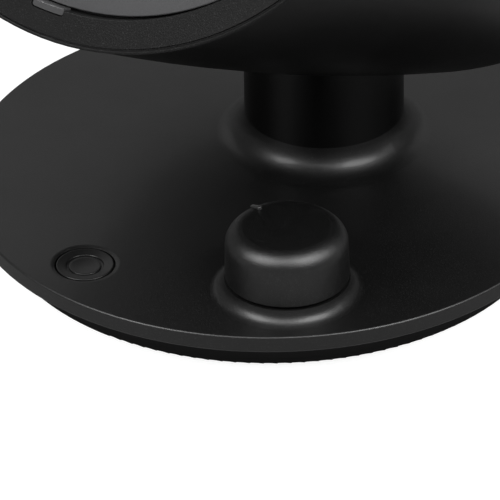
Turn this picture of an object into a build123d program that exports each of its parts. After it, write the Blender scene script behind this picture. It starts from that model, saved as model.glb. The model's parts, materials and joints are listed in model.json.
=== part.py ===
from build123d import *
from math import asin, atan2, cos, degrees, hypot, radians, sin, sqrt
import os

os.makedirs("parts", exist_ok=True)

# Round tabletop hub: a flat weighted base carries a dial, a push button and a stout column,
# and a large drum-shaped head swivels and tilts on top of the column.
# Origin: centre of the base's underside. +Z is up and the front is towards -Y. Millimetres.

# shared
running_fit = 0.05           # radial, shafts that turn
loose_fit = 0.4              # holes and pockets that only have to clear
screw_radius = 1.5
screw_head_radius = 2.8
screw_head_height = 1.8
board_thickness = 1.6

# base
base_radius = 100.0          # rim of the top plate
base_height = 18.0           # underside of the foot to the top of the plate
skirt_height = 5.6           # visible side of the plate
skirt_wall = 2.6
plate_wall = 2.4
rim_round = 0.7
tray_radius = 91.3           # at the top of the lower body
tray_taper = 1.2             # how much less it is at the bottom
tray_wall = 2.2
tray_round = 0.8
foot_height = 1.4            # how far the rubber foot stands below the tray
foot_radius = 85.0
foot_sunk = 0.8              # depth of the foot's recess in the tray
ballast_radius = 84.0
ballast_height = 7.0
ballast_front = -24.0        # the ballast ends here, behind the controls
post_radius = 4.0
post_circle = 72.0
post_start = 15.0            # angle of the first of the four posts
post_screw_sunk = 1.0
base_screw_length = 8.0
board_lift = 2.0             # control board over the tray's floor
control_board_margin = 30.0
control_board_depth = 36.0
inlet_width = 9.0
inlet_height = 3.3
inlet_depth = 7.5
inlet_wall = 0.35
contact_inset = 1.0          # contacts, from the inlet's sides and mouth
power_board_width = 20.0
power_board_depth = 22.0

# column
column_radius = 26.0
column_offset = 27.5         # behind the centre of the base
column_wall = 3.0
column_step = 1.4            # how much the foot steps in, inside the plate's collar
foot_ledge = 1.0             # extra wall inside the foot
column_top = 112.0
flare = 9.0                  # concave fillet between plate and column
flange_radius = 36.0
flange_height = 3.0
column_cap_height = 8.0
column_boss_radius = 4.2
column_boss_sunk = 0.6       # into the column's wall
column_boss_height = 14.0
column_boss_floor = 2.0      # over the screw hole
column_screw_length = 11.0
cable_hole = 12.0

# dial
dial_angle = -49.4           # seen from the base's centre, 0 is +X
dial_distance = 72.3
dial_radius = 19.5
dial_taper = 0.4
dial_height = 17.4
dial_round = 6.0
dial_lift = 5.4              # lower edge over the plate
dial_wall = 2.2
hub_radius = 6.0
hub_lift = 1.5               # hub over the dial's lower edge
dial_boss_radius = 19.7      # raised seat on the plate, under the dial's edge
dial_boss_height = 4.5       # it falls to the plate in a concave fillet of this radius
dial_boss_inner = 17.0
shaft_radius = 3.0
shaft_top_wall = 3.0
shaft_end_gap = 0.5          # under the shaft, in its sensor
sensor_floor = 1.5
pot_radius = 8.6
bushing_radius = 3.6
bushing_height = 4.0
nut_width = 12.0
nut_height = 2.2
pointer_angle = 166.0        # where the pointer stands at rest
pointer_distance = 15.1
pointer_length = 5.0
pointer_width = 1.7
pointer_proud = 0.5
pointer_depth = 1.1

# push button
button_angle = -98.9
button_distance = 82.2
button_radius = 9.1
button_gap = 0.55
button_dish = 0.9
button_sunk = 0.1            # cap's rim below the plate
button_round = 0.4
button_dip = 1.4             # width of the rounded dip in the plate round the button
button_dip_depth = 0.35
button_wall = 1.6
button_flange = 1.8
button_flange_height = 1.5
button_groove_radius = 5.5   # fine ring in the cap's face
button_groove_width = 0.9
button_groove_depth = 0.4
button_travel = 1.5
button_rest_gap = 0.1
stem_gap = 0.3               # cap's stem over the switch, and plunger over its floor, when pressed
stem_wall = 0.5              # how much the stem stands out round the plunger
stem_joint = 0.2             # how far the stem runs into the cap's top
switch_size = 9.0
switch_height = 4.2
switch_floor = 1.0
plunger_radius = 1.75

# head
pivot_height = 159.0         # tilt axis over the plate
rest_tilt = 23.3             # how far the face looks up at rest, degrees
tilt_up = 5.0                # limits of the tilt from rest, degrees
tilt_down = 20.0
face_distance = 106.0        # tilt axis to the bezel's front
head_depth = 200.0
bezel_radius = 108.5
bezel_width = 10.3
bezel_side = 2.8             # lip's side, in front of the drum
bezel_spigot = 6.0
bezel_round = 0.5
lip_width = 1.2
lip_groove = 0.45
lip_groove_depth = 0.6
panel_recess = 3.4
panel_gap = 0.8
panel_thickness = 2.7
panel_seat = 4.0
panel_round = 0.4
gasket_thickness = 0.6
belly_radius = 120.4         # largest radius of the drum
back_round = 38.0
shell_wall = 2.6
slot_clearance = 1.3         # round the column, in the drum's underside
rear_radius = 80.0           # opening for the rear cover
rear_thickness = 3.0
rear_ledge = 8.0             # how far the ledge reaches in behind the cover
rear_ledge_root = 5.0        # and out behind the drum's wall
rear_screw_circle = 75.5
rear_screw_length = 4.0
rear_gap = 0.25
display_radius = 88.0
display_thickness = 5.2
chassis_thickness = 3.5
chassis_rim = 3.5
lug_count = 6                # the drum's screw lugs, which hold the chassis
lug_start = 30.0             # angle of the first one
lug_depth = 8.6              # inwards from the chassis's edge
lug_width = 11.0
lug_height = 9.0
lug_floor = 1.5              # under the screw hole
lug_screw_inset = 3.8        # screw, from the chassis's edge
chassis_screw_length = 9.0

# tilt and swivel
arm_thickness = 7.0          # chassis arms that hold the tilt pin
arm_radius = 12.0
arm_root = 66.0              # width of each arm at the chassis
yoke_half = 25.0             # half the yoke's width over its arms
yoke_arm = 7.0
yoke_depth = 24.0
yoke_floor = 5.0
yoke_round = 3.0             # how far the arms stand out past the floor's rim
tilt_washer = 1.5
washer_radius = 10.0
pin_radius = 4.0
pin_head_radius = 7.0
pin_head_height = 3.0
pin_nut_width = 13.0
pin_nut_height = 4.5
pin_end = 1.0                # thread that shows past the nut
spindle_radius = 12.0
spindle_bore = 8.0
swivel_washer = 1.2
clip_width = 3.0
clip_height = 1.2
clip_gap = 0.4               # clip under the column's cap

# inside the head
main_board_width = 100.0
main_board_depth = 46.0
main_board_up = 62.0
radio_board_width = 60.0
radio_board_depth = 34.0
radio_board_up = -62.0
head_board_lift = 4.0
board_post_radius = 2.5
board_post_inset = 4.0
chips = (                    # x, y, width and depth on the main board
    (-30, 8, 12, 12), (-30, -10, 9, 14), (0, 0, 20, 20), (30, 10, 14, 9), (30, -8, 12, 12),
)
chip_height = 1.4
sink_size = 30.0
sink_base = 2.0
sink_height = 9.0
sink_fin = 1.2
sink_pitch = 3.6
shield_width = 24.0
shield_depth = 18.0
shield_height = 2.5
speaker_radius = 44.0
speaker_up = 12.0            # speaker's centre over the drum's axis
speaker_depth = 20.0
speaker_rim = 9.0            # width of the flat rim
speaker_rim_thickness = 2.5
basket_wall = 1.4
basket_top = 3.0             # thickness under the magnet
basket_collar = 3.0          # how far it stands out round the magnet
basket_hole = 8.0
cone_lift = 1.0              # cone's edge over the basket's front
cone_thickness = 1.0
cone_share = 0.6             # its depth, as a share of the basket's
cone_neck = 11.0
surround_width = 3.0
surround_rise = 0.4
cone_cap = 2.0               # how far the middle drops from the neck
magnet_radius = 22.0
magnet_height = 13.0
grille_radius = 33.0
grille_hole = 1.5
grille_pitch = 5.2
lens_half_angle = 3.4
lens_width = 2.3
lens_corner = 0.9            # radius of the bar's two outer corners
lens_inset = 0.5             # how far the bar reaches in over the gap round the panel
lens_round = 0.35
lens_depth = 3.6
lens_gap = 0.25

# levels and radii worked out from those sizes
plate_top = base_height
plate_under = plate_top - plate_wall
skirt_bottom = plate_top - skirt_height
tray_bottom = foot_height
tray_floor = tray_bottom + tray_wall
tray_bottom_radius = tray_radius - tray_taper
board_bottom = tray_floor + board_lift
board_top = board_bottom + board_thickness
spigot_radius = column_radius - column_step
column_inner = column_radius - column_wall
foot_inner = column_inner - foot_ledge
collar_top = plate_top + flare
flange_bottom = plate_under - flange_height
cap_bottom = column_top - column_cap_height
yoke_bottom = column_top + swivel_washer
dial_bottom = plate_top + dial_lift
dial_top = dial_bottom + dial_height
button_rim = plate_top - button_sunk
flange_top = plate_under - button_rest_gap
button_low = flange_top - button_flange_height - button_travel
switch_top = board_top + switch_height
button_bottom = switch_top + button_travel + stem_gap
pivot_z = plate_top + pivot_height
back_z = face_distance - head_depth
round_z = back_z + back_round
drum_front = face_distance - bezel_side
panel_front = face_distance - panel_recess
panel_back = panel_front - panel_thickness
seat_z = panel_back - gasket_thickness
bezel_inner = bezel_radius - bezel_width
bezel_back = drum_front - bezel_spigot
display_back = seat_z - display_thickness
chassis_back = display_back - chassis_thickness
head_board_front = chassis_back - head_board_lift
head_board_back = head_board_front - board_thickness
arm_inner = yoke_half + tilt_washer
arm_outer = arm_inner + arm_thickness
speaker_back = back_z + rear_thickness
belly_drop = belly_radius - bezel_radius
belly_arc = (belly_drop ** 2 + (drum_front - round_z) ** 2) / (2 * belly_drop)
# inside of the drum's wall at its front edge, which the bezel's spigot and the chassis go into
mouth_radius = belly_radius - belly_arc + sqrt((belly_arc - shell_wall) ** 2 - (drum_front - round_z) ** 2)
chassis_radius = mouth_radius - loose_fit
lug_circle = chassis_radius - lug_screw_inset

dial_place = Rot(0, 0, dial_angle) * Pos(dial_distance, 0, 0) * Rot(0, 0, -dial_angle)
button_place = Rot(0, 0, button_angle) * Pos(button_distance, 0, 0) * Rot(0, 0, -button_angle)
column_place = Pos(0, column_offset, 0)
inlet_place = Pos(0, tray_bottom_radius, 0)
speaker_place = Pos(0, speaker_up, 0)
# the head's own frame: origin on the tilt axis, Z forward through the face, Y up along the face
head_place = Plane(origin=(0, column_offset, pivot_z), x_dir=(1, 0, 0),
                   z_dir=(0, -cos(radians(rest_tilt)), sin(radians(rest_tilt)))).location


def turn(*outline):
    """Revolve a closed outline of (radius, height) points about Z."""
    return revolve(Plane.XZ * make_face(Polyline(*outline, close=True)), Axis.Z)


def turn_edges(*edges):
    """Revolve a closed outline of lines and arcs about Z."""
    return revolve(Plane.XZ * make_face(edges), Axis.Z)


def disc(radius, bottom, top):
    return Pos(0, 0, bottom) * extrude(Circle(radius), top - bottom)


def ring(outer, inner, bottom, top):
    return Pos(0, 0, bottom) * extrude(Circle(outer) - Circle(inner), top - bottom)


def block(width, depth, bottom, top):
    return Pos(0, 0, bottom) * extrude(Rectangle(width, depth), top - bottom)


def rims(solid, radius, height):
    """The circular edges of one radius at one height."""
    circles = solid.edges().filter_by(GeomType.CIRCLE)
    return [e for e in circles if abs(e.radius - radius) < 0.01 and abs(e.arc_center.Z - height) < 0.01]


def around(count, distance, start=0.0):
    return [Rot(0, 0, start + i * 360 / count) * Pos(distance, 0, 0) for i in range(count)]


def joined(places, solid):
    """Copies of one solid, as a group."""
    return Compound(children=[place * solid for place in places])


def screw(length):
    """A pan-head screw that points up, with the underside of its head at z = 0."""
    head = disc(screw_head_radius, -screw_head_height, 0)
    head -= block(screw_radius, screw_radius, -screw_head_height, -screw_head_height / 2)
    return head + disc(screw_radius, 0, length)


def save(name, solid):
    export_step(solid, f"parts/{name}.step")


base_posts = around(4, post_circle, post_start)
boss_circle = column_inner - column_boss_radius + column_boss_sunk
column_bosses = [column_place * place for place in around(4, boss_circle, 45)]
chassis_lugs = around(lug_count, lug_circle, lug_start)
rear_screws = around(4, rear_screw_circle, 45)


# ---- base ----

def base_plate():
    skirt_inner = base_radius - skirt_wall
    plate = turn((0, plate_under), (skirt_inner, plate_under), (skirt_inner, skirt_bottom),
                 (base_radius, skirt_bottom), (base_radius, plate_top), (0, plate_top))
    plate = fillet(rims(plate, base_radius, plate_top) + rims(plate, base_radius, skirt_bottom), rim_round)

    # collar that flares up to the column
    foot = column_radius + flare
    plate += column_place * turn_edges(
        Line((spigot_radius, plate_under), (foot, plate_under)),
        Line((foot, plate_under), (foot, plate_top)),
        CenterArc((foot, collar_top), flare, 180, 90),
        Line((column_radius, collar_top), (spigot_radius, collar_top)),
        Line((spigot_radius, collar_top), (spigot_radius, plate_under)),
    )
    plate -= column_place * disc(spigot_radius, plate_under, collar_top)

    # raised seat under the dial
    seat_top = plate_top + dial_boss_height
    foot = dial_boss_radius + dial_boss_height
    plate += dial_place * turn_edges(
        Line((dial_boss_inner, plate_under), (foot, plate_under)),
        Line((foot, plate_under), (foot, plate_top)),
        CenterArc((foot, seat_top), dial_boss_height, 180, 90),
        Line((dial_boss_radius, seat_top), (dial_boss_inner, seat_top)),
        Line((dial_boss_inner, seat_top), (dial_boss_inner, plate_under)),
    )
    plate -= dial_place * disc(bushing_radius, plate_under - 1, plate_top + 1)

    hole = button_radius + button_gap
    dip_round = (button_dip ** 2 + button_dip_depth ** 2) / (2 * button_dip_depth)
    dip_angle = degrees(asin(button_dip / dip_round))
    dip = CenterArc((hole + button_dip, plate_top - dip_round), dip_round, 90, dip_angle)
    plate -= button_place * disc(hole, plate_under, plate_top)
    plate -= button_place * turn_edges(
        dip, Line(dip @ 1, (0, plate_top - button_dip_depth)),
        Line((0, plate_top - button_dip_depth), (0, plate_top)), Line((0, plate_top), dip @ 0),
    )
    for place in base_posts:
        plate += place * ring(post_radius, screw_radius, tray_floor, plate_under)
    return plate


def base_tray():
    inner = tray_bottom_radius - tray_wall
    tray = turn((0, tray_bottom), (tray_bottom_radius, tray_bottom), (tray_radius, plate_under),
                (tray_radius - tray_wall, plate_under), (inner, tray_floor), (0, tray_floor))
    tray = fillet(rims(tray, tray_bottom_radius, tray_bottom), tray_round)
    tray -= disc(foot_radius, 0, tray_bottom + foot_sunk)
    for place in base_posts:
        tray -= place * disc(screw_radius, 0, plate_under)
        tray -= place * disc(screw_head_radius + loose_fit, 0, tray_bottom + post_screw_sunk)
    for place in (dial_place, button_place):
        tray += place * disc(post_radius, tray_floor, board_bottom)
    # room in the wall for the push button's flange
    tray -= button_place * disc(button_radius + button_flange + loose_fit, button_low - loose_fit, plate_top)
    tray -= inlet_place * block(inlet_width, 3 * tray_wall, board_top, board_top + inlet_height)
    return tray


def foot_pad():
    """Rubber disc that the hub stands on, with holes for the base's screws."""
    pad = disc(foot_radius, 0, tray_bottom + foot_sunk)
    for place in base_posts:
        pad -= place * disc(screw_head_radius + loose_fit, 0, tray_floor)
    return pad


def ballast():
    weight = disc(ballast_radius, tray_floor, tray_floor + ballast_height)
    weight &= Pos(0, ballast_front + ballast_radius, 0) * block(
        2 * ballast_radius, 2 * ballast_radius, 0, plate_top)
    weight -= column_place * disc(flange_radius + 1, 0, plate_top)
    for place in base_posts:
        weight -= place * disc(post_radius + loose_fit, 0, plate_top)
    room = 2 * (tray_wall + 2 * loose_fit + power_board_depth)
    weight -= inlet_place * block(power_board_width + 2 * loose_fit, room, 0, plate_top)
    return weight


def control_board():
    start = button_place.position
    end = dial_place.position
    turned = degrees(atan2(end.Y - start.Y, end.X - start.X))
    length = hypot(end.X - start.X, end.Y - start.Y) + control_board_margin
    board = Pos((start.X + end.X) / 2, (start.Y + end.Y) / 2, 0) * Rot(0, 0, turned) * block(
        length, control_board_depth, board_bottom, board_top)
    board &= disc(tray_bottom_radius - tray_wall - loose_fit, 0, plate_top)
    for place in base_posts:
        board -= place * disc(post_radius + loose_fit, 0, plate_top)
    return board


def power_board():
    board = inlet_place * Pos(0, -tray_wall - loose_fit - power_board_depth / 2, 0) * block(
        power_board_width, power_board_depth, tray_floor, board_top)
    return board & disc(tray_bottom_radius - tray_wall - loose_fit, 0, plate_top)


def power_inlet():
    top = board_top + inlet_height
    shell = Pos(0, -inlet_depth / 2, 0) * block(inlet_width, inlet_depth, board_top, top)
    inner_width = inlet_width - 2 * inlet_wall
    shell -= Pos(0, -inlet_depth / 2 + inlet_wall, 0) * block(
        inner_width, inlet_depth, board_top + inlet_wall, top - inlet_wall)
    return inlet_place * shell


def inlet_contacts():
    middle = board_top + inlet_height / 2
    length = inlet_depth - inlet_wall - contact_inset
    return inlet_place * Pos(0, -inlet_depth + inlet_wall + length / 2, 0) * block(
        inlet_width - 2 * contact_inset, length, middle - inlet_wall, middle + inlet_wall)


# ---- dial ----

def dial_cap():
    top_radius = dial_radius - dial_taper
    cap = turn((0, dial_bottom), (dial_radius, dial_bottom), (top_radius, dial_top), (0, dial_top))
    cap = fillet(rims(cap, top_radius, dial_top), dial_round)
    inner_round = dial_round - dial_wall
    hollow = turn((0, dial_bottom - 1), (dial_radius - dial_wall, dial_bottom - 1),
                  (top_radius - dial_wall, dial_top - dial_wall), (0, dial_top - dial_wall))
    cap -= fillet(rims(hollow, top_radius - dial_wall, dial_top - dial_wall), inner_round)
    cap += disc(hub_radius, dial_bottom + hub_lift, dial_top - dial_wall)
    cap -= disc(shaft_radius, dial_bottom, dial_top - shaft_top_wall)
    return dial_place * (cap - pointer())


def pointer():
    """A small raised pip that follows the rounded edge of the dial."""
    centre_radius = dial_radius - dial_taper - dial_round
    out = pointer_distance - centre_radius
    slope = degrees(atan2(out, sqrt(dial_round ** 2 - out ** 2)))
    drop = dial_round - sqrt(dial_round ** 2 - out ** 2)
    pip = Pos(0, 0, -pointer_depth) * extrude(
        SlotOverall(pointer_length, pointer_width), pointer_depth + pointer_proud)
    return Rot(0, 0, pointer_angle) * Pos(pointer_distance, 0, dial_top - drop) * Rot(0, slope, 0) * pip


def dial_shaft():
    low = board_top + sensor_floor + shaft_end_gap
    return dial_place * disc(shaft_radius, low, dial_top - shaft_top_wall)


def dial_sensor():
    top = plate_top + bushing_height
    body = disc(pot_radius, board_top, plate_under) + disc(bushing_radius, plate_under, top)
    return dial_place * (body - disc(shaft_radius + running_fit, board_top + sensor_floor, top))


def dial_nut():
    nut = RegularPolygon(nut_width / 2, 6, major_radius=False) - Circle(bushing_radius)
    return dial_place * Pos(0, 0, plate_top) * extrude(nut, nut_height)


# ---- push button ----

def button_cap():
    cap = disc(button_radius, flange_top - button_flange_height, button_rim)
    cap = fillet(rims(cap, button_radius, button_rim), button_round)
    ball = (button_radius ** 2 + button_dish ** 2) / (2 * button_dish)
    cap -= Pos(0, 0, button_rim - button_dish + ball) * Sphere(ball)
    ceiling = button_rim - button_dish - button_wall
    cap += disc(button_radius + button_flange, flange_top - button_flange_height, flange_top)
    cap -= disc(button_radius - button_wall, 0, ceiling)
    cap += disc(plunger_radius + stem_wall, button_bottom, ceiling + stem_joint)
    half = button_groove_width / 2
    low = button_rim - button_dish - button_groove_depth + button_groove_radius ** 2 / (2 * ball)
    cap -= ring(button_groove_radius + half, button_groove_radius - half, low, button_rim)
    return button_place * cap


def switch_body():
    bore = disc(plunger_radius + running_fit, board_top + switch_floor, plate_under)
    return button_place * (block(switch_size, switch_size, board_top, switch_top) - bore)


def switch_plunger():
    low = board_top + switch_floor + button_travel + stem_gap
    return button_place * disc(plunger_radius, low, button_bottom)


# ---- column ----

def column():
    ledge = collar_top + column_boss_height
    tube = turn((foot_inner, plate_under), (spigot_radius, plate_under), (spigot_radius, collar_top),
                (column_radius, collar_top), (column_radius, column_top), (column_inner, column_top),
                (column_inner, ledge), (foot_inner, ledge))
    tube = column_place * tube
    for place in column_bosses:
        tube += place * disc(column_boss_radius, plate_under, plate_under + column_boss_height)
    for place in column_bosses:
        tube -= place * disc(screw_radius, plate_under, plate_under + column_boss_height - column_boss_floor)
    return tube


def column_flange():
    flange = column_place * ring(flange_radius, cable_hole, flange_bottom, plate_under)
    for place in column_bosses:
        flange -= place * disc(screw_radius, 0, plate_top)
    return flange


def column_cap():
    return column_place * ring(column_inner, spindle_radius + running_fit, cap_bottom, column_top)


# ---- swivel and tilt ----

def swivel_yoke():
    yoke = disc(yoke_half, yoke_bottom, yoke_bottom + yoke_floor)
    yoke += disc(spindle_radius, cap_bottom - 2 * clip_height, yoke_bottom)
    arm = Rectangle(yoke_depth, pivot_z - yoke_bottom, align=(Align.CENTER, Align.MAX))
    arm += Circle(yoke_depth / 2)
    for x in (-yoke_half, yoke_half - yoke_arm):
        yoke += Pos(0, 0, pivot_z) * extrude(Plane.YZ.offset(x) * arm, yoke_arm)
    yoke &= disc(yoke_half + yoke_round, 0, 2 * pivot_z)
    yoke -= disc(spindle_bore, 0, yoke_bottom + yoke_floor)
    bore = disc(pin_radius + running_fit, 0, 4 * yoke_half)
    yoke -= Pos(-2 * yoke_half, 0, pivot_z) * Rot(0, 90, 0) * bore
    return column_place * yoke


def swivel_disc():
    """Friction washer between column and yoke."""
    return column_place * ring(column_inner - 1, spindle_radius, column_top + running_fit, yoke_bottom)


def swivel_clip():
    top = cap_bottom - clip_gap
    return column_place * ring(spindle_radius + clip_width, spindle_radius, top - clip_height, top)


def along_pin(solid):
    """Lay a solid that was built along Z onto the tilt axis, towards +X."""
    return head_place * Rot(0, 90, 0) * solid


def tilt_pin():
    shank = disc(pin_radius, -arm_outer - pin_nut_height - pin_end, arm_outer)
    return along_pin(shank + disc(pin_head_radius, arm_outer, arm_outer + pin_head_height))


def tilt_nut():
    nut = RegularPolygon(pin_nut_width / 2, 6, major_radius=False) - Circle(pin_radius)
    return along_pin(Pos(0, 0, -arm_outer) * extrude(nut, -pin_nut_height))


def tilt_washers():
    washer = ring(washer_radius, pin_radius, yoke_half + running_fit, arm_inner)
    return along_pin(joined([Pos(0, 0, 0), Rot(180, 0, 0)], washer))


# ---- head ----

def drum(inset, front):
    """The drum's solid shape, its wall moved in by inset, closed at the height front."""
    low = back_z + inset
    corner = belly_radius - back_round
    arc = belly_arc - inset
    swept = degrees(atan2(front - round_z, sqrt(arc ** 2 - (front - round_z) ** 2)))
    side = CenterArc((belly_radius - belly_arc, round_z), arc, 0, swept)
    edge = CenterArc((corner, round_z), back_round - inset, -90, 90)
    return turn_edges(
        Line((0, low), (corner, low)), edge, side,
        Line(side @ 1, (0, front)), Line((0, front), (0, low)),
    )


def head_shell():
    outer = drum(0, drum_front)
    shell = outer - drum(shell_wall, drum_front + 1)
    lug_bottom = chassis_back - lug_height
    band = ring(belly_radius, chassis_radius - lug_depth, lug_bottom, chassis_back) & outer
    reach = 2 * (belly_radius - chassis_radius + lug_depth + lug_screw_inset)
    for place in chassis_lugs:
        shell += band & (place * block(reach, lug_width, lug_bottom, chassis_back))
    for place in chassis_lugs:
        shell -= place * disc(screw_radius, lug_bottom + lug_floor, chassis_back)
    # ledge behind the rear cover
    shell += ring(rear_radius + rear_ledge_root, rear_radius - rear_ledge,
                  back_z, back_z + 2 * rear_thickness)
    shell -= disc(rear_radius, back_z, back_z + rear_thickness)
    for place in rear_screws:
        shell -= place * disc(screw_radius, back_z, back_z + 2 * rear_thickness)
    return head_place * (shell - slot())


def slot():
    """Slot in the drum's underside, as wide as the column and as long as the tilt needs."""
    radius = column_radius + slot_clearance
    reach = belly_radius + back_round
    rest = 90 + rest_tilt
    first = rest - tilt_down
    last = rest + tilt_up
    rod = extrude(Circle(radius), reach)
    cut = Rot(first, 0, 0) * rod + Rot(last, 0, 0) * rod
    far = reach / cos(radians((last - first) / 2))
    wedge = make_face(Polyline((0, 0), slot_point(first, far), slot_point(last, far), close=True))
    return cut + extrude(Plane.YZ * wedge, radius, both=True)


def slot_point(angle, distance):
    """A point of the Y-Z plane, at an angle turned from +Z towards -Y."""
    return (-distance * sin(radians(angle)), distance * cos(radians(angle)))


def rear_cover():
    cover = disc(rear_radius - rear_gap, back_z, back_z + rear_thickness)
    rows = int(grille_radius / (grille_pitch * sqrt(3) / 2))
    for row in range(-rows, rows + 1):
        y = row * grille_pitch * sqrt(3) / 2
        shift = grille_pitch / 2 * (row % 2)
        count = int((sqrt(grille_radius ** 2 - y ** 2) + abs(shift)) / grille_pitch)
        spots = [i * grille_pitch + shift for i in range(-count, count + 1)]
        holes = [speaker_place * Pos(x, y, 0) * disc(grille_hole, back_z, back_z + rear_thickness)
                 for x in spots if hypot(x, y) < grille_radius]
        cover -= holes
    for place in rear_screws:
        cover -= place * disc(screw_radius, back_z, back_z + rear_thickness)
        cover -= place * disc(screw_head_radius + loose_fit, back_z, back_z + screw_head_height)
    return head_place * cover


def front_bezel():
    groove_out = bezel_radius - lip_width
    groove_in = groove_out - lip_groove
    groove_low = face_distance - lip_groove_depth
    spigot = mouth_radius - loose_fit / 2
    seat = bezel_inner - panel_seat
    body = turn((bezel_inner, seat_z), (bezel_inner, face_distance), (groove_in, face_distance),
                (groove_in, groove_low), (groove_out, groove_low), (groove_out, face_distance),
                (bezel_radius, face_distance), (bezel_radius, drum_front), (spigot, drum_front),
                (spigot, bezel_back), (seat, bezel_back), (seat, seat_z))
    body = fillet(rims(body, bezel_radius, face_distance) + rims(body, groove_out, face_distance)
                  + rims(body, bezel_inner, face_distance), bezel_round)
    return head_place * (body - lens(lens_gap))


def lens(gap=0.0):
    """Light bar at the bottom of the bezel's inner edge, or with a gap round it the pocket for it."""
    half = lens_half_angle + degrees(gap / bezel_inner)
    low = face_distance - lens_depth
    inner = bezel_inner - lens_inset
    body = ring(inner + lens_width + gap, inner - gap, low, face_distance + gap)
    far = 2 * bezel_radius
    left = (-far * sin(radians(half)), -far * cos(radians(half)))
    right = (far * sin(radians(half)), -far * cos(radians(half)))
    wedge = make_face(Polyline((0, 0), left, right, close=True))
    bar = body & (Pos(0, 0, low) * extrude(wedge, lens_depth + gap))
    upright = bar.edges().filter_by(Axis.Z).sort_by(lambda edge: hypot(edge.center().X, edge.center().Y))
    return fillet(upright[-2:], lens_corner + gap)


def light_bar():
    bar = lens()
    return head_place * fillet(bar.faces().sort_by(Axis.Z)[-1].edges(), lens_round)


def front_panel():
    panel = disc(bezel_inner - panel_gap, panel_back, panel_front)
    return head_place * fillet(rims(panel, bezel_inner - panel_gap, panel_front), panel_round)


def panel_gasket():
    outer = bezel_inner - panel_gap
    return head_place * ring(outer, bezel_inner - panel_seat, seat_z, panel_back)


def display_module():
    return head_place * disc(display_radius, display_back, panel_back)


def head_chassis():
    plate = disc(chassis_radius, chassis_back, display_back)
    rim_outer = bezel_inner
    plate += ring(rim_outer, rim_outer - chassis_rim, display_back, bezel_back)
    root = Pos(0, (chassis_back + display_back) / 2) * Rectangle(arm_root, chassis_thickness)
    profile = make_hull([*Circle(arm_radius).edges(), *root.edges()])
    for x in (-arm_outer, arm_inner):
        plate += extrude(Plane.YZ.offset(x) * profile, arm_thickness)
    for place in chassis_lugs:
        plate -= place * disc(screw_radius, chassis_back, display_back)
    plate -= Rot(0, 90, 0) * disc(pin_radius, -arm_outer, arm_outer)
    for up, width, depth in ((main_board_up, main_board_width, main_board_depth),
                             (radio_board_up, radio_board_width, radio_board_depth)):
        across = width - 2 * board_post_inset
        along = depth - 2 * board_post_inset
        for spot in GridLocations(across, along, 2, 2):
            plate += Pos(0, up, 0) * spot * disc(board_post_radius, head_board_front, chassis_back)
    return head_place * plate


def head_board(up, width, depth):
    return head_place * Pos(0, up, 0) * block(width, depth, head_board_back, head_board_front)


def board_chips():
    blocks = [Pos(x, y, 0) * block(width, depth, head_board_back - chip_height, head_board_back)
              for x, y, width, depth in chips]
    return head_place * Pos(0, main_board_up, 0) * Compound(children=blocks)


def heat_sink():
    top = head_board_back - chip_height
    sink = block(sink_size, sink_size, top - sink_base, top)
    fins = int(sink_size / sink_pitch)
    for spot in GridLocations(sink_pitch, 1, fins, 1):
        sink += spot * block(sink_fin, sink_size, top - sink_height, top - sink_base)
    return head_place * Pos(0, main_board_up, 0) * sink


def radio_shield():
    return head_place * Pos(0, radio_board_up, 0) * block(
        shield_width, shield_depth, head_board_back - shield_height, head_board_back)


def speaker_basket():
    z = speaker_back
    rim = z + speaker_rim_thickness
    top = z + speaker_depth
    under = top - basket_top
    inner = speaker_radius - speaker_rim
    back = magnet_radius + basket_collar
    basket = turn((inner, z), (speaker_radius, z), (speaker_radius, rim), (inner + 2 * basket_wall, rim),
                  (back, under), (back, top), (basket_hole, top), (basket_hole, under),
                  (back - 2 * basket_wall, under), (inner, rim + cone_thickness))
    return head_place * speaker_place * basket


def speaker_cone():
    z = speaker_back + cone_lift
    outer = speaker_radius - speaker_rim
    edge = outer - surround_width
    rise = z + surround_rise
    deep = z + speaker_depth * cone_share
    middle = deep - cone_cap
    cone = turn((outer, z), (outer, z + cone_thickness), (edge, rise + cone_thickness),
                (cone_neck, deep + cone_thickness), (0, middle + cone_thickness), (0, middle),
                (cone_neck, deep), (edge, rise))
    return head_place * speaker_place * cone


def speaker_magnet():
    top = speaker_back + speaker_depth
    return head_place * speaker_place * disc(magnet_radius, top, top + magnet_height)


# ---- build ----

save("base_plate", base_plate())
save("base_tray", base_tray())
save("foot_pad", foot_pad())
save("ballast", ballast())
save("control_board", control_board())
save("power_board", power_board())
save("power_inlet", power_inlet())
save("inlet_contacts", inlet_contacts())
save("dial_cap", dial_cap())
save("dial_pointer", dial_place * pointer())
save("dial_shaft", dial_shaft())
save("dial_sensor", dial_sensor())
save("dial_nut", dial_nut())
save("button_cap", button_cap())
save("switch_body", switch_body())
save("switch_plunger", switch_plunger())
save("column", column())
save("column_flange", column_flange())
save("column_cap", column_cap())
save("swivel_yoke", swivel_yoke())
save("swivel_disc", swivel_disc())
save("swivel_clip", swivel_clip())
save("tilt_pin", tilt_pin())
save("tilt_nut", tilt_nut())
save("tilt_washers", tilt_washers())
save("head_shell", head_shell())
save("rear_cover", rear_cover())
save("front_bezel", front_bezel())
save("indicator_lens", light_bar())
save("front_panel", front_panel())
save("panel_gasket", panel_gasket())
save("display_module", display_module())
save("head_chassis", head_chassis())
save("main_board", head_board(main_board_up, main_board_width, main_board_depth))
save("board_chips", board_chips())
save("heat_sink", heat_sink())
save("radio_board", head_board(radio_board_up, radio_board_width, radio_board_depth))
save("radio_shield", radio_shield())
save("speaker_basket", speaker_basket())
save("speaker_cone", speaker_cone())
save("speaker_magnet", speaker_magnet())

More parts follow.
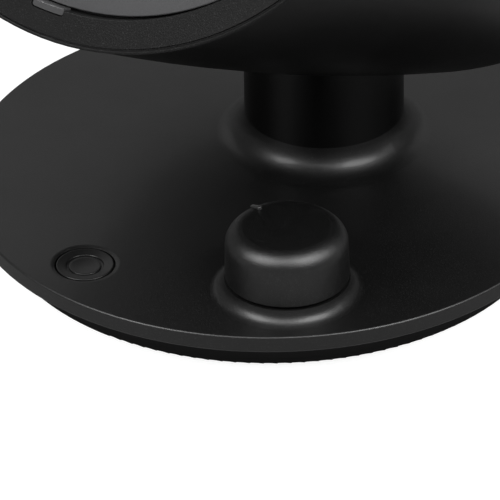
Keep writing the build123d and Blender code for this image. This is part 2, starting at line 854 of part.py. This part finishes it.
screw_seats = [place * Pos(0, 0, tray_bottom + post_screw_sunk) for place in base_posts]
save("base_screws", joined(screw_seats, screw(base_screw_length)))
screw_seats = [place * Pos(0, 0, flange_bottom) for place in column_bosses]
save("column_screws", joined(screw_seats, screw(column_screw_length)))
screw_seats = [place * Pos(0, 0, display_back) * Rot(180, 0, 0) for place in chassis_lugs]
save("chassis_screws", head_place * joined(screw_seats, screw(chassis_screw_length)))
screw_seats = [place * Pos(0, 0, back_z + screw_head_height) for place in rear_screws]
save("rear_cover_screws", head_place * joined(screw_seats, screw(rear_screw_length)))
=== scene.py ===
import bpy
import bmesh
import json
from math import cos, hypot, pi, radians, sin
from mathutils import Matrix, Vector


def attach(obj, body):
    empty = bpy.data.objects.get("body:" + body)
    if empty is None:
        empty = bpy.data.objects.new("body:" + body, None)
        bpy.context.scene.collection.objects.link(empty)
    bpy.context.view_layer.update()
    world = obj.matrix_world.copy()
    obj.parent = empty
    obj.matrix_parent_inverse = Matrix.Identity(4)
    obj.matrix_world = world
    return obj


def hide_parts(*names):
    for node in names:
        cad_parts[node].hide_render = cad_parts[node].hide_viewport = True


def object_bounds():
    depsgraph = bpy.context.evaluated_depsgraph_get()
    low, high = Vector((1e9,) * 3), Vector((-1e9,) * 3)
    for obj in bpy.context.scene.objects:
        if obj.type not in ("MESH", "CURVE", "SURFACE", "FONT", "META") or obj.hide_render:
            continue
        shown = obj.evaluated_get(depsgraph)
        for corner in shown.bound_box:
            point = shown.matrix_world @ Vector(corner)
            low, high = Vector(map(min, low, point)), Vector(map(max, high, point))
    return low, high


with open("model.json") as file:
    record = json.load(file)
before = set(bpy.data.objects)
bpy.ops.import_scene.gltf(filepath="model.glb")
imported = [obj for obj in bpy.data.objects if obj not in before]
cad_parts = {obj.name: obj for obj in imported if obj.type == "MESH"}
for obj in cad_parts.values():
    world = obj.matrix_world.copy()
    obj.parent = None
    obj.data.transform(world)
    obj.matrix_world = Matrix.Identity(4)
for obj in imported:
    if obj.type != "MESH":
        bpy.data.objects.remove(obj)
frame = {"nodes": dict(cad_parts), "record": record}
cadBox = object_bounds()
nodes = frame["nodes"]
slotOf = {part["node"]: part["material_slot"] for part in frame["record"]["subparts"]}
print("frame loaded,", len(nodes), "nodes")

camera = {"azimuth": 37.9, "elevation": 32.76, "distance": 1.6, "roll": -0.96, "lens": 365.7,
          "near": 0.05, "aim": (0.0244, -0.0444, 0.018)}
stage = {"side": 8.0, "squares": 4, "floor": 0.25, "cloud": 0.5, "unevenness": 0.03, "floorRough": 0.8,
         "floorGloss": 0.1, "glow": 0.9, "backdrop": 0.97, "room": 0.16}
# each lamp: azimuth and elevation seen from the middle of the object, distance, width, height, watts
lamps = {
    "front": (34, 50, 1.5, 2.1, 0.8, 16.0),
    "keyLeft": (-20, 40, 1.5, 0.7, 1.0, 19.0),
    "keyRight": (90, 44, 1.5, 1.0, 0.9, 23.0),
    "back": (216, 34, 1.8, 2.6, 1.0, 3.5),
    "side": (128, 20, 1.5, 0.4, 0.9, 1.5),
}
toMetres = 0.001


def direction(azimuth, elevation):
    a = radians(azimuth)
    e = radians(elevation)
    return Vector((sin(a) * cos(e), -cos(a) * cos(e), sin(e)))


def link(made):
    bpy.context.scene.collection.objects.link(made)
    return made


def makeCamera():
    data = bpy.data.cameras.new("camera")
    data.lens = camera["lens"]
    data.clip_start = camera["near"]
    made = link(bpy.data.objects.new("camera", data))
    back = direction(camera["azimuth"], camera["elevation"])
    made.location = Vector(camera["aim"]) + back * camera["distance"]
    turned = (-back).to_track_quat("-Z", "Y").to_matrix().to_4x4()
    made.rotation_euler = (turned @ Matrix.Rotation(radians(camera["roll"]), 4, "Z")).to_euler()
    bpy.context.scene.camera = made


def makeLamps():
    middle = (cadBox[0] + cadBox[1]) / 2
    for name, (azimuth, elevation, distance, width, height, watts) in lamps.items():
        data = bpy.data.lights.new(name, "AREA")
        data.shape = "RECTANGLE"
        data.size = width
        data.size_y = height
        data.energy = watts
        made = link(bpy.data.objects.new(name, data))
        out = direction(azimuth, elevation)
        made.location = middle + out * distance
        made.rotation_euler = out.to_track_quat("Z", "Y").to_euler()


class Value:
    # a socket in a finish, so that maths on it reads as maths
    def __init__(self, finish, socket):
        self.finish = finish
        self.socket = socket

    def __add__(self, other):
        return self.finish.maths("ADD", self, other)

    def __sub__(self, other):
        return self.finish.maths("SUBTRACT", self, other)

    def __rsub__(self, other):
        return self.finish.maths("SUBTRACT", other, self)

    def __mul__(self, other):
        return self.finish.maths("MULTIPLY", self, other)

    __radd__ = __add__
    __rmul__ = __mul__


class Finish:
    # one procedural material
    def __init__(self, name):
        self.material = bpy.data.materials.new(name)
        self.material.use_nodes = True
        self.tree = self.material.node_tree
        self.shader = self.tree.nodes["Principled BSDF"]

    def node(self, kind, settings=None, inputs=None, output=0):
        made = self.tree.nodes.new(kind)
        for key, value in (settings or {}).items():
            if key == "stops":
                self.setStops(made.color_ramp, value)
            else:
                setattr(made, key, value)
        for key, value in (inputs or {}).items():
            self.put(made.inputs[key], value)
        return Value(self, made.outputs[output])

    def put(self, socket, value):
        if isinstance(value, Value):
            self.tree.links.new(value.socket, socket)
        else:
            socket.default_value = value

    def setStops(self, ramp, stops):
        while len(ramp.elements) < len(stops):
            ramp.elements.new(0.5)
        for element, (place, grey) in zip(ramp.elements, stops):
            element.position = place
            element.color = (grey, grey, grey, 1)

    def maths(self, operation, first, second):
        return self.node("ShaderNodeMath", {"operation": operation}, {0: first, 1: second})

    def place(self, stretch=(1, 1, 1)):
        # the piece's own coordinates in metres, stretched for a pattern that runs one way
        coords = self.node("ShaderNodeTexCoord", output="Object")
        return self.node("ShaderNodeMapping", {}, {"Vector": coords, "Scale": stretch})

    def noise(self, size, detail=2.0, rough=0.5, stretch=(1, 1, 1)):
        # soft noise whose features are about size metres across
        return self.node("ShaderNodeTexNoise", {}, {
            "Vector": self.place(stretch), "Scale": 1 / size, "Detail": detail, "Roughness": rough})

    def ramp(self, value, *stops):
        return self.node("ShaderNodeValToRGB", {"stops": stops}, {"Fac": value})

    def blend(self, share, first, second):
        return self.node("ShaderNodeMix", {"data_type": "RGBA"}, {0: share, 6: first, 7: second}, 2)

    def bump(self, height, depth):
        # height from 0 to 1 stands up by depth metres
        return self.node("ShaderNodeBump", {}, {"Height": height, "Distance": depth, "Strength": 1.0})

    def set(self, **values):
        for key, value in values.items():
            self.put(self.shader.inputs[key], value)
        return self.material


def shade(grey, tint=1.0):
    # a neutral grey, a touch cooler as tint grows
    return (grey, grey, grey * tint, 1)


# shared by every moulded finish: sizes in metres, ramp stops as (place, level)
mould = {"hazeSize": 0.035, "hazeStops": ((0.35, 0), (0.7, 1)), "hazeRough": 0.05, "fleckShare": 0.8,
         "fleckStops": ((0.66, 0), (0.8, 1)), "fleckGain": 4, "fleckBase": 0.05, "dark": 0.85, "light": 1.15,
         "grainRough": 0.12}


def mouldedPlastic(name, look):
    # moulded plastic: fine grain pressed in by the mould, tiny bright grains and a faint handling haze
    made = Finish(name)
    grain = made.noise(look["grain"], 3.0, 0.6)
    haze = made.ramp(made.noise(mould["hazeSize"], 4.0, 0.6), *mould["hazeStops"])
    flecks = made.ramp(made.noise(look["grain"] * mould["fleckShare"], 0.0), *mould["fleckStops"])
    dark = shade(look["grey"] * mould["dark"])
    light = shade(look["grey"] * mould["light"], look.get("tint", 1.0))
    bright = shade(look["grey"] * mould["fleckGain"] + mould["fleckBase"])
    colour = made.blend(flecks * look["sparkle"], made.blend(grain, dark, light), bright)
    rough = haze * mould["hazeRough"] + (grain - 0.5) * mould["grainRough"] + look["rough"]
    return made.set(**{"Base Color": colour, "Roughness": rough, "Normal": made.bump(grain, look["depth"]),
                       "Specular IOR Level": look.get("gloss", 0.5), "Coat Weight": look.get("coat", 0.0),
                       "Coat Roughness": look.get("coatRough", 0.1)})


plastics = {
    "base_black": {"grey": 0.0015, "rough": 0.39, "grain": 0.0005, "depth": 0.00004, "sparkle": 0.25,
                   "gloss": 0.52, "coat": 0.1, "coatRough": 0.14},
    "tray_black": {"grey": 0.002, "rough": 0.5, "grain": 0.0005, "depth": 0.000012, "sparkle": 0.03,
                   "gloss": 0.25},
    "column_black": {"grey": 0.0006, "rough": 0.34, "grain": 0.00035, "depth": 0.000012, "sparkle": 0.03,
                     "gloss": 0.24},
    "drum_black": {"grey": 0.001, "rough": 0.34, "grain": 0.00035, "depth": 0.000014, "sparkle": 0.05,
                   "gloss": 0.2},
    "bezel_grey": {"grey": 0.004, "rough": 0.46, "grain": 0.0005, "depth": 0.00008, "sparkle": 0.25,
                   "gloss": 0.2},
    "panel_grey": {"grey": 0.047, "rough": 0.36, "grain": 0.0006, "depth": 0.000003, "sparkle": 0.0,
                   "tint": 1.06},
    "dial_black": {"grey": 0.001, "rough": 0.33, "grain": 0.0003, "depth": 0.00008, "sparkle": 0.6,
                   "gloss": 0.62},
    "button_black": {"grey": 0.004, "rough": 0.3, "grain": 0.0003, "depth": 0.00001, "sparkle": 0.10,
                     "gloss": 0.4},
    "gloss_black": {"grey": 0.02, "rough": 0.16, "grain": 0.0006, "depth": 0.000004, "sparkle": 0.0},
    "lens_grey": {"grey": 0.05, "rough": 0.2, "grain": 0.0006, "depth": 0.000003, "sparkle": 0.0,
                  "tint": 1.04},
    "rubber_black": {"grey": 0.01, "rough": 0.75, "grain": 0.0005, "depth": 0.00003, "sparkle": 0.0,
                     "gloss": 0.3},
    "magnet_dark": {"grey": 0.03, "rough": 0.5, "grain": 0.0008, "depth": 0.00003, "sparkle": 0.1},
    "nylon_black": {"grey": 0.018, "rough": 0.45, "grain": 0.0005, "depth": 0.00001, "sparkle": 0.0},
}
# shared by every metal
plating = {"cloudSize": 0.012, "cloudStops": ((0.3, 0), (0.7, 1)), "cloudRough": 0.08, "dark": 0.82,
           "markRough": 0.2}


def platedMetal(name, look):
    # metal with fine brush or casting marks and slightly uneven plating
    made = Finish(name)
    marks = made.noise(look["mark"], 4.0, 0.6, look.get("stretch", (1, 1, 1)))
    cloud = made.ramp(made.noise(plating["cloudSize"], 3.0), *plating["cloudStops"])
    dark = tuple(channel * plating["dark"] for channel in look["colour"]) + (1,)
    colour = made.blend(cloud, dark, look["colour"] + (1,))
    rough = cloud * plating["cloudRough"] + (marks - 0.5) * plating["markRough"] + look["rough"]
    return made.set(**{"Base Color": colour, "Metallic": 1.0, "Roughness": rough,
                       "Normal": made.bump(marks, look["depth"])})


metals = {
    "zinc_steel": {"colour": (0.46, 0.47, 0.49), "rough": 0.34, "mark": 0.0006, "depth": 0.000008},
    "bright_steel": {"colour": (0.58, 0.58, 0.59), "rough": 0.22, "mark": 0.0005, "depth": 0.000006,
                     "stretch": (8, 1, 1)},
    "brass_contact": {"colour": (0.78, 0.6, 0.3), "rough": 0.25, "mark": 0.0004, "depth": 0.000003},
    "cast_alloy": {"colour": (0.5, 0.51, 0.52), "rough": 0.5, "mark": 0.0009, "depth": 0.00004},
}


board = {"tracks": 160.0, "trackWidth": 0.05, "mask": (0.006, 0.05, 0.022, 1),
         "overTrack": (0.012, 0.11, 0.045, 1), "rough": 0.35, "depth": 0.00003}


def boardGreen(name):
    # solder mask over copper: tracks as thin, slightly lighter lines
    made = Finish(name)
    tracks = made.node("ShaderNodeTexBrick", {}, {
        "Vector": made.place(), "Scale": board["tracks"], "Mortar Size": board["trackWidth"],
        "Mortar": shade(1.0), "Color1": shade(0.0), "Color2": shade(0.0)})
    colour = made.blend(tracks, board["mask"], board["overTrack"])
    return made.set(**{"Base Color": colour, "Roughness": board["rough"],
                       "Normal": made.bump(tracks, board["depth"])})


def floorFinish():
    made = Finish("floorWhite")
    low = shade(stage["floor"] * (1 - stage["unevenness"]))
    high = shade(stage["floor"] * (1 + stage["unevenness"]))
    colour = made.blend(made.noise(stage["cloud"], 2.0), low, high)
    # the floor glows for the eye alone, so it looks paper white and still bounces little light
    seen = made.node("ShaderNodeLightPath", output="Is Camera Ray")
    glow = made.blend(seen, shade(0.0), shade(stage["glow"]))
    return made.set(**{"Base Color": colour, "Roughness": stage["floorRough"],
                       "Specular IOR Level": stage["floorGloss"], "Emission Color": glow,
                       "Emission Strength": 1.0})


def makeStage():
    bm = bmesh.new()
    bmesh.ops.create_grid(bm, x_segments=stage["squares"], y_segments=stage["squares"], size=stage["side"] / 2)
    mesh = bpy.data.meshes.new("floor")
    bm.to_mesh(mesh)
    bm.free()
    mesh.materials.append(floorFinish())
    floor = link(bpy.data.objects.new("floor", mesh))

    world = bpy.data.worlds.new("room")
    world.use_nodes = True
    tree = world.node_tree
    path = tree.nodes.new("ShaderNodeLightPath")
    seen = tree.nodes.new("ShaderNodeMix")
    seen.inputs["A"].default_value = stage["room"]
    seen.inputs["B"].default_value = stage["backdrop"]
    tree.links.new(path.outputs["Is Camera Ray"], seen.inputs["Factor"])
    tree.links.new(seen.outputs["Result"], tree.nodes["Background"].inputs["Strength"])
    tree.nodes["Background"].inputs["Color"].default_value = (1, 1, 1, 1)
    scene = bpy.context.scene
    scene.world = world
    scene.view_settings.view_transform = "Standard"


makeCamera()
makeLamps()
makeStage()
print("camera,", len(lamps), "lamps and floor made")
finishes = {slot: mouldedPlastic(slot, look) for slot, look in plastics.items()}
finishes.update({slot: platedMetal(slot, look) for slot, look in metals.items()})
finishes["board_green"] = boardGreen("board_green")
for name, node in nodes.items():
    node.data.materials.clear()
    node.data.materials.append(finishes[slotOf[name]])
nodes["base_tray"].data.materials[0] = finishes["tray_black"]
print("materials made,", len(finishes))

steps = 144  # faces round a turned piece
tiny = 0.02


def finished(bm, name, body, replaced, slot, crease=35):
    # a bmesh in millimetres becomes a smooth piece in metres that rides on a body
    bmesh.ops.scale(bm, vec=(toMetres, toMetres, toMetres), verts=bm.verts)
    mesh = bpy.data.meshes.new(name)
    bm.to_mesh(mesh)
    bm.free()
    mesh.shade_smooth()
    mesh.set_sharp_from_angle(angle=radians(crease))
    mesh.materials.append(finishes[slot])
    piece = link(bpy.data.objects.new(name, mesh))
    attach(piece, body)
    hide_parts(replaced)
    print("made", name, len(mesh.polygons), "faces")


def rounded(bm, edges, size, faces):
    bmesh.ops.bevel(bm, geom=edges, offset=size, offset_type="OFFSET", affect="EDGES", segments=faces,
                    profile=0.5, material=-1)


def spun(outline, rounds):
    # an outline of (radius, height) turned round the z axis, then rounded along some of its rings
    bm = bmesh.new()
    dots = [bm.verts.new((radius, 0, height)) for radius, height in outline]
    lines = [bm.edges.new(pair) for pair in zip(dots, dots[1:])]
    bmesh.ops.spin(bm, geom=dots + lines, axis=(0, 0, 1), cent=(0, 0, 0), steps=steps, angle=2 * pi,
                   use_merge=True)
    bmesh.ops.remove_doubles(bm, verts=bm.verts, dist=tiny / 4)
    bmesh.ops.recalc_face_normals(bm, faces=bm.faces)
    for radius, height, size, faces in rounds:
        ring = [edge for edge in bm.edges if all(
            abs(hypot(vert.co.x, vert.co.y) - radius) < tiny and abs(vert.co.z - height) < tiny
            for vert in edge.verts)]
        rounded(bm, ring, size, faces)
    return bm


# millimetres; radii are from the dial's own axis, heights from the floor
dial = {"centre": (47.05, -54.90), "radius": 19.5, "topRadius": 19.1, "bottom": 23.4, "top": 40.8,
        "round": 6.0, "roundFaces": 18, "flatEdge": 0.6, "wall": 2.2, "insideFaces": 6, "lipRound": 0.35,
        "lipFaces": 4, "hub": 6.0, "hubBottom": 24.9, "bore": 3.0, "boreTop": 37.8}


def dialCap():
    d = dial
    inside = d["topRadius"] - d["wall"]
    lid = d["top"] - d["wall"]
    outline = [(0, d["top"]), (d["topRadius"] - d["round"] - d["flatEdge"], d["top"]), (d["topRadius"], d["top"]),
               (d["radius"], d["bottom"]), (d["radius"] - d["wall"], d["bottom"]), (inside, lid), (d["hub"], lid),
               (d["hub"], d["hubBottom"]), (d["bore"], d["hubBottom"]), (d["bore"], d["boreTop"]),
               (0, d["boreTop"])]
    bm = spun(outline, [(d["topRadius"], d["top"], d["round"], d["roundFaces"]),
                        (d["radius"], d["bottom"], d["lipRound"], d["lipFaces"]),
                        (inside, lid, d["round"] - d["wall"], d["insideFaces"])])
    bmesh.ops.translate(bm, verts=bm.verts, vec=d["centre"] + (0,))
    finished(bm, "dialCap", "dial", "dial_cap", "dial_black")


# angle and slope in degrees; distance is from the dial's axis
pip = {"distance": 15.1, "height": 40.46, "angle": 166.0, "slope": 19.5, "length": 5.0, "width": 1.7,
       "proud": 0.55, "sunk": 0.5, "endFaces": 40, "round": 0.5, "roundFaces": 6, "crease": 50}


def dialPip():
    # a raised mark with rounded ends that follows the dial's rounded edge
    d = pip
    bm = bmesh.new()
    bmesh.ops.create_circle(bm, cap_ends=True, segments=d["endFaces"], radius=d["width"] / 2)
    reach = (d["length"] - d["width"]) / 2
    right = [vert for vert in bm.verts if vert.co.x > tiny]
    bmesh.ops.translate(bm, verts=right, vec=(reach, 0, 0))
    left = [vert for vert in bm.verts if vert.co.x < tiny]
    bmesh.ops.translate(bm, verts=left, vec=(-reach, 0, 0))
    raised = bmesh.ops.extrude_face_region(bm, geom=bm.faces[:])
    tops = [item for item in raised["geom"] if isinstance(item, bmesh.types.BMVert)]
    bmesh.ops.translate(bm, verts=bm.verts, vec=(0, 0, -d["sunk"]))
    bmesh.ops.translate(bm, verts=tops, vec=(0, 0, d["sunk"] + d["proud"]))
    bmesh.ops.recalc_face_normals(bm, faces=bm.faces)
    rim = [edge for edge in bm.edges if all(abs(vert.co.z - d["proud"]) < tiny for vert in edge.verts)]
    rounded(bm, rim, d["round"], d["roundFaces"])
    place = (Matrix.Translation(dial["centre"] + (0,)) @ Matrix.Rotation(radians(d["angle"]), 4, "Z")
             @ Matrix.Translation((d["distance"], 0, d["height"])) @ Matrix.Rotation(radians(d["slope"]), 4, "Y"))
    bmesh.ops.transform(bm, matrix=place, verts=bm.verts)
    finished(bm, "dialPip", "dial", "dial_pointer", "gloss_black", d["crease"])


# the dished face is measured down from the rim
button = {"centre": (-12.72, -81.21), "radius": 9.1, "rim": 17.9, "dish": 0.9, "round": 0.4, "roundFaces": 5,
          "faceRings": (1.5, 3.0, 4.2), "outerRings": (6.8, 7.8), "faceEdge": 0.1, "flange": 10.9,
          "flangeTop": 15.5, "flangeBottom": 14.0, "flangeRound": 0.2, "flangeFaces": 2, "inner": 7.5,
          "ceiling": 15.4, "stem": 2.25, "groove": 5.5, "grooveWidth": 0.9, "grooveDepth": 0.45,
          "grooveSlope": 0.12, "grooveRound": 0.16, "grooveFaces": 3}


def buttonCap():
    d = button
    middle = d["rim"] - d["dish"]
    curve = d["dish"] / d["radius"] ** 2

    def face(radius, deeper=0.0):
        # a point on the dished face, or below it in the ring groove
        return (radius, middle + curve * radius ** 2 - deeper)

    inner = d["groove"] - d["grooveWidth"] / 2
    outer = d["groove"] + d["grooveWidth"] / 2
    slope = d["grooveSlope"]
    stemBottom = min(vert.co.z for vert in nodes["button_cap"].data.vertices) / toMetres
    outline = [(0, middle)] + [face(radius) for radius in d["faceRings"]]
    outline += [face(inner), face(inner + slope, d["grooveDepth"]), face(outer - slope, d["grooveDepth"]),
                face(outer)]
    outline += [face(radius) for radius in d["outerRings"]]
    outline += [face(d["radius"] - d["round"] - d["faceEdge"]), (d["radius"], d["rim"]),
                (d["radius"], d["flangeTop"]), (d["flange"], d["flangeTop"]), (d["flange"], d["flangeBottom"]),
                (d["inner"], d["flangeBottom"]), (d["inner"], d["ceiling"]), (d["stem"], d["ceiling"]),
                (d["stem"], stemBottom), (0, stemBottom)]
    bm = spun(outline, [(d["radius"], d["rim"], d["round"], d["roundFaces"]),
                        (inner, face(inner)[1], d["grooveRound"], d["grooveFaces"]),
                        (outer, face(outer)[1], d["grooveRound"], d["grooveFaces"]),
                        (d["flange"], d["flangeTop"], d["flangeRound"], d["flangeFaces"])])
    bmesh.ops.translate(bm, verts=bm.verts, vec=d["centre"] + (0,))
    finished(bm, "buttonCap", "button", "button_cap", "button_black")


dialCap()
dialPip()
buttonCap()
